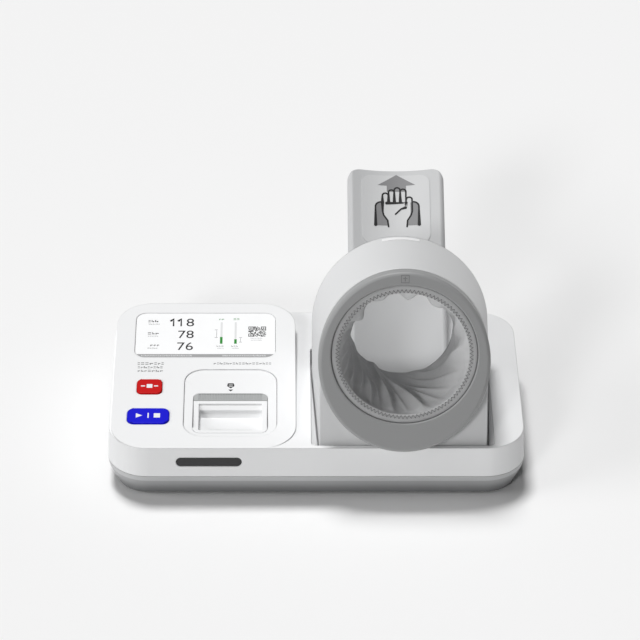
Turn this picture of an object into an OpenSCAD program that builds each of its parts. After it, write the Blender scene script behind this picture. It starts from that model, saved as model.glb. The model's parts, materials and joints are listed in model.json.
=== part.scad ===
// Arm-in blood pressure monitor. Millimetres, +Z up, -Y towards the person being measured.
// The origin is on the table, under the middle of the base.

/* [Base] */
// Width of the base at its parting line
base_w = 461; // [420:1:560]
// Depth of the base at its parting line
base_d = 282; // [270:1:340]
// Height of the flat top above the table
base_h = 66; // [60:1:80]
// Height of the parting line between the two shells
belt_h = 31; // [26:1:34]
// Corner radius in plan
corner_r = 45; // [44:1:60]
// How far the side walls lean in, from parting line to top
draft_x = 1.5; // [1:0.5:4]
// How far the front and back walls lean in
draft_y = 4; // [2:0.5:6]
// How far the underside tucks in all round
tuck = 10; // [6:1:14]
// Wall of the shells
wall = 2.6; // [2.2:0.1:3]
// Height of the rubber feet under the base
foot_h = 3; // [2:0.5:5]
// Radius of a rubber foot
foot_r = 9; // [7:0.5:12]

/* [Panel] */
// Width of the raised control panel
panel_w = 204; // [190:1:240]
// Distance of the panel from the left edge of the top
panel_gap = 2.7; // [2:0.1:8]
// Distance of the panel from the back edge of the top
panel_back = 7; // [4:1:12]
// Rise of the panel from front to back
panel_rise = 17; // [10:1:24]
// Corner radius of the panel
panel_r = 40; // [30:1:45]
// Width of the screen lens
screen_w = 159; // [140:1:170]
// Height of the screen lens along the slope
screen_h = 83.5; // [70:0.5:90]
// Slope distance from the panel's front to the screen's centre
screen_s = 206.8; // [204:0.2:210]
// Width of the start button
start_w = 46.5; // [36:0.5:50]
// Height of the start button along the slope
start_h = 27.2; // [20:0.2:30]
// Width of the stop button
stop_w = 28.2; // [22:0.2:34]
// Height of the stop button along the slope
stop_h = 26; // [20:0.5:30]
// How far a button stands proud
button_proud = 1.8; // [1:0.1:2.5]
// How far a button travels
button_travel = 1.2; // [0.8:0.1:1.5]

/* [Printer] */
// Width of the printer surround
fascia_w = 103; // [96:1:110]
// Height of the printer surround along the slope
fascia_h = 120; // [116:1:126]
// How far the surround lies below the panel
fascia_drop = 0.8; // [0.5:0.1:1.5]
// Width of the printer lid
lid_w = 82; // [76:1:86]
// Depth of the lid's finger well
lid_well_d = 12; // [9:0.5:13]
// Radius of a full paper roll
roll_r = 19; // [14:1:20]
// Width of the paper roll
roll_w = 58; // [50:1:58]
// Number of ribs on the tear comb
comb_ribs = 39; // [21:2:45]

/* [Arm unit] */
// Sideways place of the arm tunnel's centre line
arm_x = 95; // [90:1:110]
// Tilt of the tunnel's axis below level
tunnel_tilt = 20; // [18:1:22]
// Distance of the chin of the ring in front of the origin
chin_y = 149; // [147:1:152]
// Height of the chin of the ring above the table
chin_z = 68.5; // [68:0.5:74]
// Half width of the front ring
ring_a = 93.7; // [88:0.1:96]
// Half height of the front ring
ring_b = 100.7; // [98:0.1:104]
// Depth of the front ring along the axis
ring_t = 20; // [16:1:22]
// Height of the tunnel's axis above the ring's chin
axis_h = 109.5; // [107:0.5:112]
// Half width of the arm opening
mouth_a = 79.8; // [76:0.1:82]
// Half height of the arm opening
mouth_b = 77.2; // [75:0.1:79]
// Radius of the barrel at its front
barrel_r1 = 92; // [90:0.5:94]
// Radius of the barrel at its back
barrel_r2 = 99; // [96:0.5:100]
// Length from the ring's face to the barrel's back
barrel_l = 159; // [150:1:165]
// Wall of the barrel
barrel_wall = 3; // [2.5:0.5:4]
// Radius of the sleeve's narrow back end
waist_r = 57; // [50:1:58]
// Turn of the sleeve's folds from front to back
sleeve_twist = 60; // [40:1:100]
// Number of main folds in the sleeve
sleeve_folds = 10; // [8:1:12]

/* [Forearm rest] */
// Half width of the forearm rest
rest_a = 56.2; // [50:0.1:58]
// Length of the forearm rest along its slope
rest_l = 268; // [240:1:290]
// Slope of the forearm rest
rest_slope = 28; // [26:0.5:30]
// Depth of the hollow that the forearm lies in
rest_hollow = 7; // [4:0.5:9]
// Width of the sign on the rest
sign_w = 79; // [70:1:84]
// Length of the sign on the rest
sign_l = 93; // [80:1:120]

/* [Hidden] */

$fn = 48;
eps = 0.01;          // thickness of a slice that a hull starts from
big = 900;           // larger than the object, for cutting half spaces
fit = 0.4;           // gap round a fixed piece in its opening
run = 0.05;          // radial running clearance of a pin in its bore
soft_gap = 0.5;      // gap round a soft piece

// Plan sizes of the base
top_w = base_w - 2 * draft_x;
top_d = base_d - 2 * draft_y;
top_r = corner_r - draft_x;
wall_lean = atan(draft_y / (base_h - belt_h));
floor_z = foot_h + wall + 0.05;

// Control panel, whose own frame has its origin at the front edge and its Y up the slope
panel_x = -top_w / 2 + panel_gap + panel_w / 2;
panel_y0 = -top_d / 2;
panel_d = top_d - panel_back;
panel_tilt = atan(panel_rise / panel_d);
screen_x = panel_x - 0.6;
screen_r = 12;
lens_t = 1.6;
lens_drop = 0.5;
button_x = panel_x - 61.6;
start_s = 55.9;
stop_s = 109.2;
button_flange = 1.4;
button_stem = 2;

// Printer, in the panel's frame
fascia_x = panel_x + 29.2;
fascia_s = 82;
fascia_r = 22;
fascia_t = 2.6;
lid_s0 = fascia_s - fascia_h / 2 + 6.4;
lid_s1 = lid_s0 + 57.2;
comb_s1 = lid_s1 + 13.4;
well_w = lid_w - 12;
comb_w = well_w;
head_w = lid_w - 22;
pull_w = 48;
pull_h = 15;
pull_d = 3;
hinge_r = 2;
hinge_s = lid_s0 + 9;
hinge_n = -fascia_drop - hinge_r;
lid_pin_r = 1.2;
lid_corner = 8;
platen_r = 3.5;
platen_s = lid_s1 - 5.1;
platen_n = hinge_n - 7.2;
platen_shaft_r = 1.5;
roll_s = lid_s0 + 29;
roll_n = -fascia_drop - fascia_t - lid_well_d - 5 - roll_r;
roll_gap = 0.4;
roll_core_r = 6;
bucket_wall = 1.8;
bucket_n = roll_n - roll_r - roll_gap - bucket_wall;

// Pocket in the top and the well below it, where the arm unit sits
pocket_a = 100.6;
pocket_y0 = panel_y0 + 5.3;
pocket_y1 = 62;
pocket_drop = 4;
pocket_r = 5;
pan_lip = 2.4;
well_floor = 48;
pan_floor_t = 2.5;
well_y1 = pocket_y1 - 2;
skirt_gap = 2;
cradle_z0 = well_floor + 2;
cradle_z1 = cradle_z0 + 4;
skirt_y0 = pocket_y0 + 1.5;
pivot_y = 44;
pivot_z = cradle_z1 + 2;
pivot_r = 4;
knuckle_r = 7;
knuckle_x0 = 40;
knuckle_x1 = 60;
ear_t = 6;
bumper_r = 6;

// Arm tunnel, whose own frame has its origin at the ring's chin and its Y down the axis
front_w = ring_t;
drum_r = 84;
drum_w1 = 108;
drum_wall = 2.5;
collar_w0 = 132;
collar_r0 = waist_r + 3;
collar_r1 = waist_r + 4;
collar_t = 2.5;
hem_w0 = 3;
hem_t = 2;
hem_band = 7.5;
sleeve_t = 1.5;
sleeve_w0 = hem_w0 + hem_t + 0.3;
sleeve_w1 = collar_w0 - 0.4;
sleeve_r0 = mouth_b - hem_band + 3;
sleeve_around = 60;
sleeve_along = 9;
sleeve_seam = 0.3;

// Forearm rest, whose own frame has its origin at the low end and its Y up the slope
rest_y = 20.8;
rest_z = 63.8;
rest_lip_r = 5.5;
rest_t = 3.6;
rest_end_r = 16;
sign_t = 0.7;
sign_end = 7;

// Screws and bosses of the base
screw_r = 1.5;
screw_head_r = 3;
boss_r = 5;
side = base_w / 2;
end = base_d / 2;
middle_x = arm_x - pocket_a - 10.4;
screw_spots = [[18.5 - side, 37 - end], [34.5 - side, end - 19], [middle_x, end - 41],
               [side - 22.5, 81 - end], [side - 22.5, end - 49], [middle_x, 33 - end]];
foot_spots = concat([for (x = [-1, 1], y = [-1, 1]) [x * (side - 45.5), y * (end - 51)]], [[0, 0]]);

// Back panel
inlet_x = 112;
inlet_z = 48;
inlet_w = 27;
inlet_h = 20;
inlet_depth = 17;
switch_x = 148;
switch_w = 21;
switch_h = 15;
rocker_n = -5;
rocker_pin_r = 1.5;
rocker_travel = 20;

// Scanner in the front wall
scan_x = -118;
scan_z = 49;
scan_w = 72;
scan_h = 10.6;

// Boards, printer head, pump, hose and power supply inside the base
board_z = 26;
board_w = 130;
board_d = 70;
board_x = -120;
board_y = 62;
key_n = -13.3;
head_s = platen_s + platen_r + 0.9;
pump_r = 13.5;
pump_x = 40;
pump_y = -70;
pump_z = floor_z + pump_r + 3;
hose_r = 3;
hose_path = [[31, -70, 22], [24, -70, 22], [16, -66, 22], [10, -56, 22], [8, -44, 22], [9, -30, 22],
             [14, -14, 22], [24, -2, 23], [38, 6, 25], [55, 10, 27], [72, 11, 29], [86, 10.5, 31],
             [93, 10, 34], [95, 10, 38], [95, 10, 45]];
supply_x = 42;
supply_y = 98;

// ---- Outlines ----

function arc(x, y, r, a0, a1, n) =
    [for (i = [0:n]) [x + r * cos(a0 + (a1 - a0) * i / n), y + r * sin(a0 + (a1 - a0) * i / n)]];

function round_rect(w, d, r, n = 10) = concat(
    arc(w / 2 - r, d / 2 - r, r, 0, 90, n),
    arc(-w / 2 + r, d / 2 - r, r, 90, 180, n),
    arc(-w / 2 + r, -d / 2 + r, r, 180, 270, n),
    arc(w / 2 - r, -d / 2 + r, r, 270, 360, n));

function oval(a, b, n = 96) = [for (i = [0:n - 1]) [a * cos(i * 360 / n), b * sin(i * 360 / n)]];

// Arch: a half circle on straight legs
function arch(r, zc, z_low, n = 40) = concat([[r, z_low]], arc(0, zc, r, 0, 180, n), [[-r, z_low]]);

// ---- Frames ----

module on_panel(x, s, n = 0) {
    translate([x, panel_y0, base_h]) rotate([panel_tilt, 0, 0]) translate([0, s, n]) children();
}

module on_back(x, z) {
    y = base_d / 2 - (z - belt_h) * tan(wall_lean);
    translate([x, y, z]) rotate([wall_lean, 0, 0]) rotate([90, 0, 180]) children();
}

module on_front(x, z) {
    y = -base_d / 2 + (z - belt_h) * tan(wall_lean);
    translate([x, y, z]) rotate([-wall_lean, 0, 0]) rotate([90, 0, 0]) children();
}

module in_tunnel() {
    translate([arm_x, -chin_y, chin_z]) rotate([-tunnel_tilt, 0, 0]) children();
}

module in_rest() {
    translate([arm_x, rest_y, rest_z]) rotate([rest_slope, 0, 0]) children();
}

// An outline drawn in X and Z, run from y0 to y1
module along_y(y0, y1) {
    translate([0, y1, 0]) rotate([90, 0, 0]) linear_extrude(y1 - y0) children();
}

// A cylinder round the tunnel's axis
module axis_cyl(w0, w1, r) {
    translate([0, w0, axis_h]) rotate([-90, 0, 0]) cylinder(h = w1 - w0, r = r, $fn = 96);
}

module slice(z, w, d, r) {
    translate([0, 0, z]) linear_extrude(eps) polygon(round_rect(w, d, r));
}

module x_cyl(x0, x1, r) {
    translate([x0, 0, 0]) rotate([0, 90, 0]) cylinder(h = x1 - x0, r = r);
}

// ---- Base ----

// The lower half's outer form, shrunk by a wall for its hollow
module lower_form(inset, z0) {
    hull() {
        slice(belt_h - eps, base_w - 2 * inset, base_d - 2 * inset, corner_r - inset);
        slice(belt_h - 7, base_w - 2 - 2 * inset, base_d - 2 - 2 * inset, corner_r - 1 - inset);
        slice(z0, base_w - 2 * tuck - 2 * inset, base_d - 2 * tuck - 2 * inset, corner_r - tuck - inset);
    }
}

module lower_shell() {
    color("gainsboro") difference() {
        union() {
            difference() {
                lower_form(0, foot_h);
                translate([0, 0, eps]) lower_form(wall, foot_h + wall);
            }
            for (p = screw_spots) translate([p[0], p[1], foot_h + 1])
                cylinder(h = belt_h - foot_h - 1, r = boss_r);
        }
        for (p = screw_spots) translate([p[0], p[1], 0]) {
            cylinder(h = belt_h + 1, r = screw_r + 0.3);
            cylinder(h = foot_h + 6, r = screw_head_r + 0.4);
        }
        for (p = foot_spots) translate([p[0], p[1], foot_h - 1]) cylinder(h = 2, r = foot_r + 0.1);
    }
}

module rubber_feet() {
    color("dimgray") for (p = foot_spots) translate([p[0], p[1], 0]) union() {
        cylinder(h = foot_h, r = foot_r - 1);
        translate([0, 0, 0.6]) cylinder(h = foot_h + 0.4, r = foot_r);
    }
}

module base_screws() {
    color("silver") for (p = screw_spots) translate([p[0], p[1], foot_h + 4]) difference() {
        union() {
            cylinder(h = 2, r = screw_head_r);
            cylinder(h = belt_h - foot_h + 4, r = screw_r);
        }
        translate([0, 0, -1]) cylinder(h = 2, r = 1.2, $fn = 6);
    }
}

// The raised panel's form, shrunk by a wall for its hollow
module panel_form(inset) {
    intersection() {
        difference() {
            translate([panel_x, panel_y0 + panel_d / 2, base_h - 12]) linear_extrude(panel_rise + 12)
                polygon(round_rect(panel_w - 2 * inset, panel_d - 2 * inset, panel_r - inset));
            on_panel(panel_x, 0, -inset) translate([-big / 2, -big / 2, 0]) cube([big, big, big]);
        }
        translate([0, 0, base_h - 14]) linear_extrude(panel_rise + 20)
            polygon(round_rect(top_w - 2 * inset, top_d - 2 * inset, top_r - inset));
    }
}

module upper_form(inset, z0) {
    union() {
        hull() {
            slice(z0, base_w - 2 * inset, base_d - 2 * inset, corner_r - inset);
            slice(base_h - inset - eps, top_w - 2 * inset, top_d - 2 * inset, top_r - inset);
        }
        panel_form(inset);
    }
}

module pocket_outline(grow) {
    translate([arm_x, (pocket_y0 + pocket_y1) / 2])
        polygon(round_rect(2 * pocket_a + 2 * grow, pocket_y1 - pocket_y0 + 2 * grow, pocket_r + grow));
}

module upper_shell() {
    color("whitesmoke") difference() {
        union() {
            difference() {
                upper_form(0, belt_h);
                upper_form(wall, belt_h - 1);
            }
            intersection() {
                upper_form(wall / 2, belt_h);
                for (p = screw_spots) translate([p[0], p[1], belt_h]) cylinder(h = 60, r = boss_r);
            }
        }
        for (p = screw_spots) translate([p[0], p[1], belt_h - 1]) cylinder(h = 14, r = screw_r + run);
        translate([0, 0, base_h - 8]) linear_extrude(20) pocket_outline(0);
        on_panel(screen_x, screen_s, -10) linear_extrude(20)
            polygon(round_rect(screen_w + 2 * fit, screen_h + 2 * fit, screen_r + fit));
        on_panel(button_x, start_s, -10) linear_extrude(20)
            polygon(round_rect(start_w + 2 * fit, start_h + 2 * fit, 8 + fit));
        on_panel(button_x, stop_s, -10) linear_extrude(20)
            polygon(round_rect(stop_w + 2 * fit, stop_h + 2 * fit, 6 + fit));
        on_panel(fascia_x, fascia_s, -10) linear_extrude(20)
            polygon(round_rect(fascia_w + 2 * fit, fascia_h + 2 * fit, fascia_r + fit));
        on_front(scan_x, scan_z) translate([0, 0, -8]) linear_extrude(16)
            polygon(round_rect(scan_w + 0.4, scan_h + 0.4, scan_h / 2 + 0.2));
        on_back(inlet_x, inlet_z) translate([0, 0, -8]) linear_extrude(16)
            polygon(round_rect(inlet_w + 2 * fit, inlet_h + 2 * fit, 3));
        on_back(switch_x, inlet_z) translate([0, 0, -8]) linear_extrude(16)
            polygon(round_rect(switch_w + 5 + 2 * fit, switch_h + 4 + 2 * fit, 2));
    }
}

// Outline of the well, narrower at the front as the barrel is
module well_outline(shrink) {
    a0 = barrel_r1 + skirt_gap - shrink;
    a1 = pocket_a - shrink;
    translate([arm_x, 0]) polygon([[-a0, pocket_y0 + shrink], [a0, pocket_y0 + shrink],
        [a1, 22], [a1, well_y1 - shrink], [-a1, well_y1 - shrink], [-a1, 22]]);
}

module well_pan() {
    color("lightgray") difference() {
        union() {
            difference() {
                translate([0, 0, well_floor - pan_floor_t])
                    linear_extrude(base_h - wall - well_floor + pan_floor_t)
                    pocket_outline(pan_lip);
                translate([0, 0, base_h - pocket_drop]) linear_extrude(20) pocket_outline(0);
                translate([0, 0, well_floor]) linear_extrude(40) well_outline(0);
            }
            for (s = [-1, 1]) translate([arm_x + s * (knuckle_x1 + 1 + ear_t / 2), pivot_y, 0]) {
                translate([-ear_t / 2, -knuckle_r, well_floor - 1])
                    cube([ear_t, 2 * knuckle_r, pivot_z - well_floor + 1]);
                translate([0, 0, pivot_z]) x_cyl(-ear_t / 2, ear_t / 2, knuckle_r);
            }
        }
        translate([arm_x, pivot_y, pivot_z]) x_cyl(-knuckle_x1 - ear_t - 4, knuckle_x1 + ear_t + 4, pivot_r);
        translate([arm_x, 10, well_floor - 10]) cylinder(h = 20, r = 6);
    }
}

module cradle_bumpers() {
    color("dimgray") for (x = [-70, 70], y = [-115, -20]) translate([arm_x + x, y, well_floor])
        cylinder(h = cradle_z0 - well_floor, r = bumper_r);
}

module pivot_pins() {
    color("silver") for (s = [-1, 1]) translate([arm_x, pivot_y, pivot_z]) rotate([0, 0, s > 0 ? 0 : 180]) {
        x_cyl(knuckle_x0, knuckle_x1 + 1 + ear_t, pivot_r - run);
        x_cyl(knuckle_x1 + 1 + ear_t + 0.1, knuckle_x1 + ear_t + 3, pivot_r + 2);
    }
}

// ---- Screen and boards ----

module screen_lens() {
    color("white") on_panel(screen_x, screen_s, -lens_drop - lens_t) linear_extrude(lens_t)
        polygon(round_rect(screen_w, screen_h, screen_r));
}

module display_module() {
    color("darkslategray") on_panel(screen_x, screen_s, -wall - 0.1) union() {
        translate([0, 0, -0.1]) linear_extrude(wall - lens_drop - lens_t)
            polygon(round_rect(screen_w, screen_h, screen_r));
        translate([0, 0, -1]) linear_extrude(1) polygon(round_rect(screen_w + 5, screen_h + 3, 3));
        translate([0, 0, -6.5]) linear_extrude(5.6) polygon(round_rect(screen_w - 4, screen_h - 6, 2));
    }
}

module main_board() {
    color("seagreen") difference() {
        union() {
            translate([board_x - board_w / 2, board_y - board_d / 2, board_z]) cube([board_w, board_d, 1.6]);
            for (x = [-58, 58], y = [-28, 28]) translate([board_x + x, board_y + y, floor_z])
                cylinder(h = board_z - floor_z, r = 3.5);
            translate([board_x - 20, board_y - 8, board_z + 1.6]) cube([20, 20, 2]);
            translate([board_x + 20, board_y - 20, board_z + 1.6]) cube([12, 12, 1.6]);
            translate([board_x - 60, board_y + 10, board_z + 1.6]) cube([8, 16, 7]);
            for (i = [0:3]) translate([board_x - 55 + 12 * i, board_y - 22, board_z + 1.6])
                cylinder(h = 8, r = 4);
        }
        for (x = [-58, 58], y = [-28, 28]) translate([board_x + x, board_y + y, floor_z - 1])
            cylinder(h = 30, r = 1.4);
    }
}

module key_board() {
    w = start_w - 14;
    color("seagreen") on_panel(button_x, 0, 0) union() {
        translate([-w / 2, start_s - 25, key_n]) cube([w, stop_s - start_s + 48, 1.6]);
        for (s = [start_s, stop_s]) {
            translate([-3, s - 3, key_n + 1.5]) cube([6, 6, 3.6]);
            translate([0, s, key_n + 5]) cylinder(h = 0.8, r = 1.7);
        }
        for (x = [-1, 1], s = [start_s - 21, stop_s + 19]) translate([x * (w / 2 - 4), s, key_n + 1.5])
            cylinder(h = -key_n - wall - 1.6, r = 3);
    }
}

module button_cap(w, h, r) {
    n0 = -wall - 0.1;
    union() {
        translate([0, 0, n0 - eps]) linear_extrude(button_proud - n0) polygon(round_rect(w, h, r));
        translate([0, 0, n0 - button_flange]) linear_extrude(button_flange)
            polygon(round_rect(w + 3, h + 3, r + 1.5));
        translate([0, 0, n0 - button_flange - button_stem]) cylinder(h = button_stem + 1, r = 2.5);
    }
}

module start_button() {
    color("blue") on_panel(button_x, start_s) button_cap(start_w, start_h, 8);
}

module stop_button() {
    color("red") on_panel(button_x, stop_s) button_cap(stop_w, stop_h, 6);
}

module pressure_sensor() {
    color("black") translate([board_x + 44, board_y + 12, board_z + 1.7]) {
        translate([-7, -7, 0]) cube([14, 14, 5]);
        translate([0, 0, 4.9]) cylinder(h = 5, r = 2);
    }
}

// ---- Printer ----

// Upright block over the lid's and the comb's outline
module lid_outline(grow) {
    translate([0, (lid_s0 + comb_s1) / 2, -20]) linear_extrude(40)
        polygon(round_rect(lid_w + 2 * grow, comb_s1 - lid_s0 + 2 * grow, lid_corner + grow));
}

module printer_fascia() {
    color("white") on_panel(fascia_x, 0, 0) difference() {
        union() {
            translate([0, fascia_s, -fascia_drop - fascia_t]) linear_extrude(fascia_t)
                polygon(round_rect(fascia_w, fascia_h, fascia_r));
            for (s = [-1, 1]) translate([s * (lid_w / 2 + 2.4), hinge_s, -fascia_drop - fascia_t - 2.4])
                translate([-1.8, -4, 0]) cube([3.6, 8, 3]);
        }
        lid_outline(fit);
        translate([0, hinge_s, hinge_n]) x_cyl(-lid_w / 2 - 4.4, lid_w / 2 + 4.4, lid_pin_r + run);
    }
}

module tear_comb() {
    pitch = comb_w / comb_ribs;
    color("gainsboro") on_panel(fascia_x, 0, 0) {
        difference() {
            intersection() {
                translate([-lid_w / 2, lid_s1 + 0.6, -fascia_drop - fascia_t])
                    cube([lid_w, comb_s1 - lid_s1, fascia_t]);
                lid_outline(0);
            }
            translate([-comb_w / 2 - 0.5, lid_s1 + 1.4, -fascia_drop - 1]) cube([comb_w + 1, 11, 3]);
        }
        for (i = [0:comb_ribs - 1])
            translate([-comb_w / 2 + pitch * (i + 0.25), lid_s1 + 1.4, -fascia_drop - 1.1])
                cube([pitch / 2, 11, 0.8]);
        for (s = [-1, 1]) translate([s * (lid_w / 2 - 4) - 1, comb_s1 - 5, -fascia_drop - fascia_t - 8])
            cube([2, 3, 8.1]);
    }
}

module print_head() {
    color("dimgray") on_panel(fascia_x, 0, -fascia_drop - fascia_t - 0.1) difference() {
        union() {
            translate([-head_w / 2, head_s, -11]) cube([head_w, 4, 11]);
            translate([-head_w / 2, head_s, -4]) cube([head_w, 11, 4]);
        }
        for (x = [-1, 1]) translate([x * (head_w / 2 - 6), head_s + 7.5, -5]) cylinder(h = 6, r = 1.2);
    }
}

// Tray that the paper roll lies in, with cheeks up to the surround
module paper_bucket() {
    top_n = -fascia_drop - fascia_t - 0.1;
    half = lid_w / 2 + 7;
    s0 = roll_s - roll_r - 3;
    s1 = roll_s + roll_r + 3;
    color("lightgray") on_panel(fascia_x, 0, 0) difference() {
        translate([-half, s0, bucket_n]) cube([2 * half, s1 - s0, top_n - bucket_n]);
        translate([-half + bucket_wall, s0 - 1, roll_n + roll_r - 3])
            cube([2 * (half - bucket_wall), s1 - s0 + 2, 100]);
        translate([-roll_w / 2 - 1, s0 + bucket_wall, roll_n])
            cube([roll_w + 2, s1 - s0 - 2 * bucket_wall, 60]);
        translate([0, roll_s, roll_n]) x_cyl(-roll_w / 2 - 1, roll_w / 2 + 1, roll_r + roll_gap);
    }
}

module paper_roll() {
    color("white") on_panel(fascia_x, roll_s, roll_n) difference() {
        x_cyl(-roll_w / 2, roll_w / 2, roll_r);
        x_cyl(-roll_w, roll_w, roll_core_r);
    }
}

module lid_hinge_pins() {
    color("silver") on_panel(fascia_x, hinge_s, hinge_n) for (s = [-1, 1]) rotate([0, 0, s > 0 ? 0 : 180])
        x_cyl(lid_w / 2 - 4.4, lid_w / 2 + 4.2, lid_pin_r);
}

// Section of the finger well, drawn in slope distance and depth, shrunk by t for its tub
function well_section(t) = let (s0 = lid_s0 + 5 - t, s1 = lid_s0 + 52, n = -fascia_drop) [
    [s0, n + 3 - 2.5 * t], [s0, n - lid_well_d - t], [s1 - 11 + t, n - lid_well_d - t],
    [s1 - 7 + t, n - 8 - t], [s1 - 6 + t, n - 4.8 - t], [s1, n - 1.8 - t], [s1, n + 3 - 2.5 * t]];

// Runs a section drawn in Y and Z along X, over a width w
module along_x(w) {
    translate([-w / 2, 0, 0]) rotate([90, 0, 90]) linear_extrude(w) children();
}

module printer_lid() {
    plate_n = -fascia_drop - fascia_t;
    tub = 1.5;
    color("white") on_panel(fascia_x, 0, 0) difference() {
        union() {
            intersection() {
                translate([-lid_w / 2, lid_s0, plate_n]) cube([lid_w, lid_s1 - lid_s0, fascia_t]);
                lid_outline(0);
            }
            for (s = [-1, 1]) translate([s * (lid_w / 2 - 2.5), hinge_s, hinge_n]) x_cyl(-2.5, 2.5, hinge_r);
            along_x(well_w + 2 * tub) polygon(well_section(tub));
            translate([-pull_w / 2 - tub, lid_s0 + 5 - tub, -fascia_drop - lid_well_d - pull_d - tub])
                cube([pull_w + 2 * tub, pull_h + 2 * tub, pull_d + tub]);
            for (s = [-1, 1]) translate([s * (lid_w / 2 - 2) - 1.2, platen_s - 4, platen_n - 3])
                cube([2.4, 7, plate_n - platen_n + 4]);
        }
        along_x(well_w) polygon(well_section(0));
        translate([-pull_w / 2, lid_s0 + 5, -fascia_drop - lid_well_d - pull_d]) cube([pull_w, pull_h, 10]);
        translate([0, hinge_s, hinge_n]) {
            x_cyl(-lid_w, -lid_w / 2 + 4.6, lid_pin_r + run);
            x_cyl(lid_w / 2 - 4.6, lid_w, lid_pin_r + run);
        }
        translate([0, platen_s, platen_n]) x_cyl(-lid_w, lid_w, platen_shaft_r + run);
    }
}

module platen_roller() {
    color("dimgray") on_panel(fascia_x, platen_s, platen_n) union() {
        x_cyl(-roll_w / 2, roll_w / 2, platen_r);
        x_cyl(-lid_w / 2 + 0.6, lid_w / 2 - 0.6, platen_shaft_r);
    }
}

// ---- Scanner, speaker, air and power ----

module scanner_window() {
    color("black") on_front(scan_x, scan_z) union() {
        translate([0, 0, -wall - 0.6]) linear_extrude(wall + 0.3)
            polygon(round_rect(scan_w, scan_h, scan_h / 2));
        translate([0, 0, -wall - 1.6]) linear_extrude(1.1)
            polygon(round_rect(scan_w + 4, scan_h + 4, scan_h / 2 + 2));
    }
}

module scanner_module() {
    color("darkslategray") on_front(scan_x, scan_z) translate([0, 0, -wall - 1.7]) union() {
        translate([-22, -6, -14]) cube([44, 12, 14]);
        translate([-34, -5, -3]) cube([68, 10, 2]);
    }
}

module speaker() {
    color("dimgray") translate([14, -108, floor_z]) union() {
        cylinder(h = 3, r = 18);
        translate([0, 0, 2.9]) cylinder(h = 6, r = 12);
    }
}

module air_pump() {
    color("silver") translate([pump_x, pump_y, pump_z]) union() {
        x_cyl(0, 42, pump_r);
        x_cyl(41.9, 60, pump_r - 1.5);
        translate([4, -pump_r + 1, -pump_r - 3]) cube([34, 2 * pump_r - 2, 8]);
        x_cyl(-8.5, 1, 2.2);
    }
}

module exhaust_valve() {
    color("black") translate([pump_x - 4, pump_y + 44, floor_z]) union() {
        cylinder(h = 20, r = 8);
        translate([0, 0, 19.9]) cylinder(h = 5, r = 2);
        translate([-10, -6, 0]) cube([20, 12, 2]);
    }
}

// Route of the hose from the pump past the valve to the spigot under the well

function unit(v) = v / norm(v);
function path_dir(p, i) = unit(p[min(i + 1, len(p) - 1)] - p[max(i - 1, 0)]);
function side_dir(d) = unit(cross(d, abs(d[2]) > 0.9 ? [0, 1, 0] : [0, 0, 1]));

module sweep(p, r, sides) {
    n = len(p);
    rings = [for (i = [0:n - 1]) let (d = path_dir(p, i), u = side_dir(d), v = cross(u, d))
        for (j = [0:sides - 1]) p[i] + r * (u * cos(j * 360 / sides) + v * sin(j * 360 / sides))];
    walls = [for (i = [0:n - 2], j = [0:sides - 1]) let (k = (j + 1) % sides)
        each [[i * sides + j, (i + 1) * sides + j, (i + 1) * sides + k],
              [i * sides + j, (i + 1) * sides + k, i * sides + k]]];
    ends = [[for (j = [0:sides - 1]) j], [for (j = [sides - 1:-1:0]) (n - 1) * sides + j]];
    polyhedron(rings, concat(walls, ends));
}

module air_hose() {
    color("dimgray") sweep(hose_path, hose_r, 10);
}

module power_supply() {
    color("silver") translate([supply_x, supply_y, 0]) union() {
        translate([-50, -27, floor_z + 4]) cube([100, 54, 1.6]);
        for (x = [-44, 44], y = [-21, 21]) translate([x, y, floor_z]) cylinder(h = 4.1, r = 3);
        translate([-42, -22, floor_z + 5.5]) cube([84, 44, 26]);
    }
}

module power_inlet() {
    color("black") on_back(inlet_x, inlet_z) difference() {
        union() {
            translate([0, 0, -inlet_depth - 2]) linear_extrude(inlet_depth + 2.4)
                polygon(round_rect(inlet_w, inlet_h, 2.5));
            translate([0, 0, 0.1]) linear_extrude(1.6) polygon(round_rect(inlet_w + 6, inlet_h + 5, 4));
        }
        translate([0, 0, -inlet_depth]) linear_extrude(inlet_depth + 5)
            polygon(round_rect(inlet_w - 3, inlet_h - 4, 3));
    }
    color("silver") on_back(inlet_x, inlet_z) for (p = [[-7, -2], [0, 2], [7, -2]])
        translate([p[0] - 1, p[1] - 2, -inlet_depth - 1]) cube([2, 4, inlet_depth - 3]);
}

module switch_frame() {
    color("black") on_back(switch_x, inlet_z) difference() {
        union() {
            translate([0, 0, -14]) linear_extrude(14.4) polygon(round_rect(switch_w + 5, switch_h + 4, 2));
            translate([0, 0, 0.1]) linear_extrude(1.4) polygon(round_rect(switch_w + 9, switch_h + 8, 3));
        }
        translate([0, 0, -12]) linear_extrude(20) polygon(round_rect(switch_w + 1, switch_h + 1, 1));
        translate([0, 0, rocker_n]) x_cyl(-switch_w / 2 - 2, switch_w / 2 + 2, rocker_pin_r + run);
    }
}

module power_switch() {
    color("black") on_back(switch_x, inlet_z) translate([0, 0, rocker_n]) rotate([-rocker_travel / 2, 0, 0])
        difference() {
            union() {
                intersection() {
                    translate([-switch_w / 2, -switch_h / 2, -6]) cube([switch_w, switch_h, 14]);
                    x_cyl(-switch_w / 2, switch_w / 2, switch_h / 2);
                }
                x_cyl(-switch_w / 2 - 1.8, switch_w / 2 + 1.8, rocker_pin_r);
            }
            translate([0, 0, 20.5]) x_cyl(-switch_w, switch_w, 14.5, $fn = 96);
        }
}

// ---- Arm unit ----

module below(z) {
    translate([-big / 2, -big / 2, z - big]) cube([big, big, big]);
}

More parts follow.
